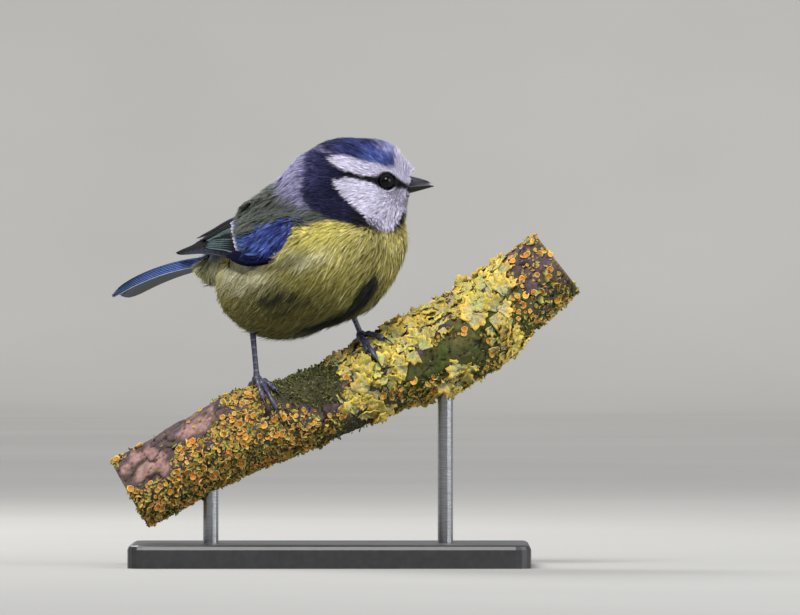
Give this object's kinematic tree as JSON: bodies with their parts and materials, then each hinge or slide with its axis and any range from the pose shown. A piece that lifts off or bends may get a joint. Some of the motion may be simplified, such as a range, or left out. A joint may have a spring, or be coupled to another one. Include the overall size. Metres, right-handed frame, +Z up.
{
  "type": "blue tit on a perch",
  "caption": "Life-size still model of a blue tit, head turned, gripping a short lichened branch held by a flat base with rods.",
  "frame": {"origin": "middle of the stand base's underside", "axes": "+X to the right along the base's long side, the way the bird's head faces; +Y away from the side the picture was taken from; +Z up"},
  "size_m": [0.1218, 0.0751, 0.112],
  "materials": {
    "head_plumage": "soft feathers, blue cap, white face, dark eye line and collar",
    "body_plumage": "soft feathers, yellow below, grey-green above",
    "flight_feathers": "firm feather vanes, blue with dark webs and white tips",
    "eye": "wet gloss",
    "bill": "satin horn",
    "legs": "satin scales, dark claws",
    "bark": "rough bark with lichen",
    "stand_base": "satin black lacquer",
    "stand_rods": "brushed"
  },
  "bodies": {
    "root": {"head": "head_plumage", "neck": "head_plumage", "torso": "body_plumage", "tail": "flight_feathers", "wing_left": "flight_feathers", "wing_right": "flight_feathers", "eye_left": "eye", "eye_right": "eye", "bill_upper": "bill", "bill_lower": "bill", "leg_left": "legs", "leg_right": "legs", "foot_left": "legs", "foot_right": "legs", "perch": "bark", "stand_base": "stand_base", "stand_rod_left": "stand_rods", "stand_rod_right": "stand_rods"}
  },
  "joints": []
}
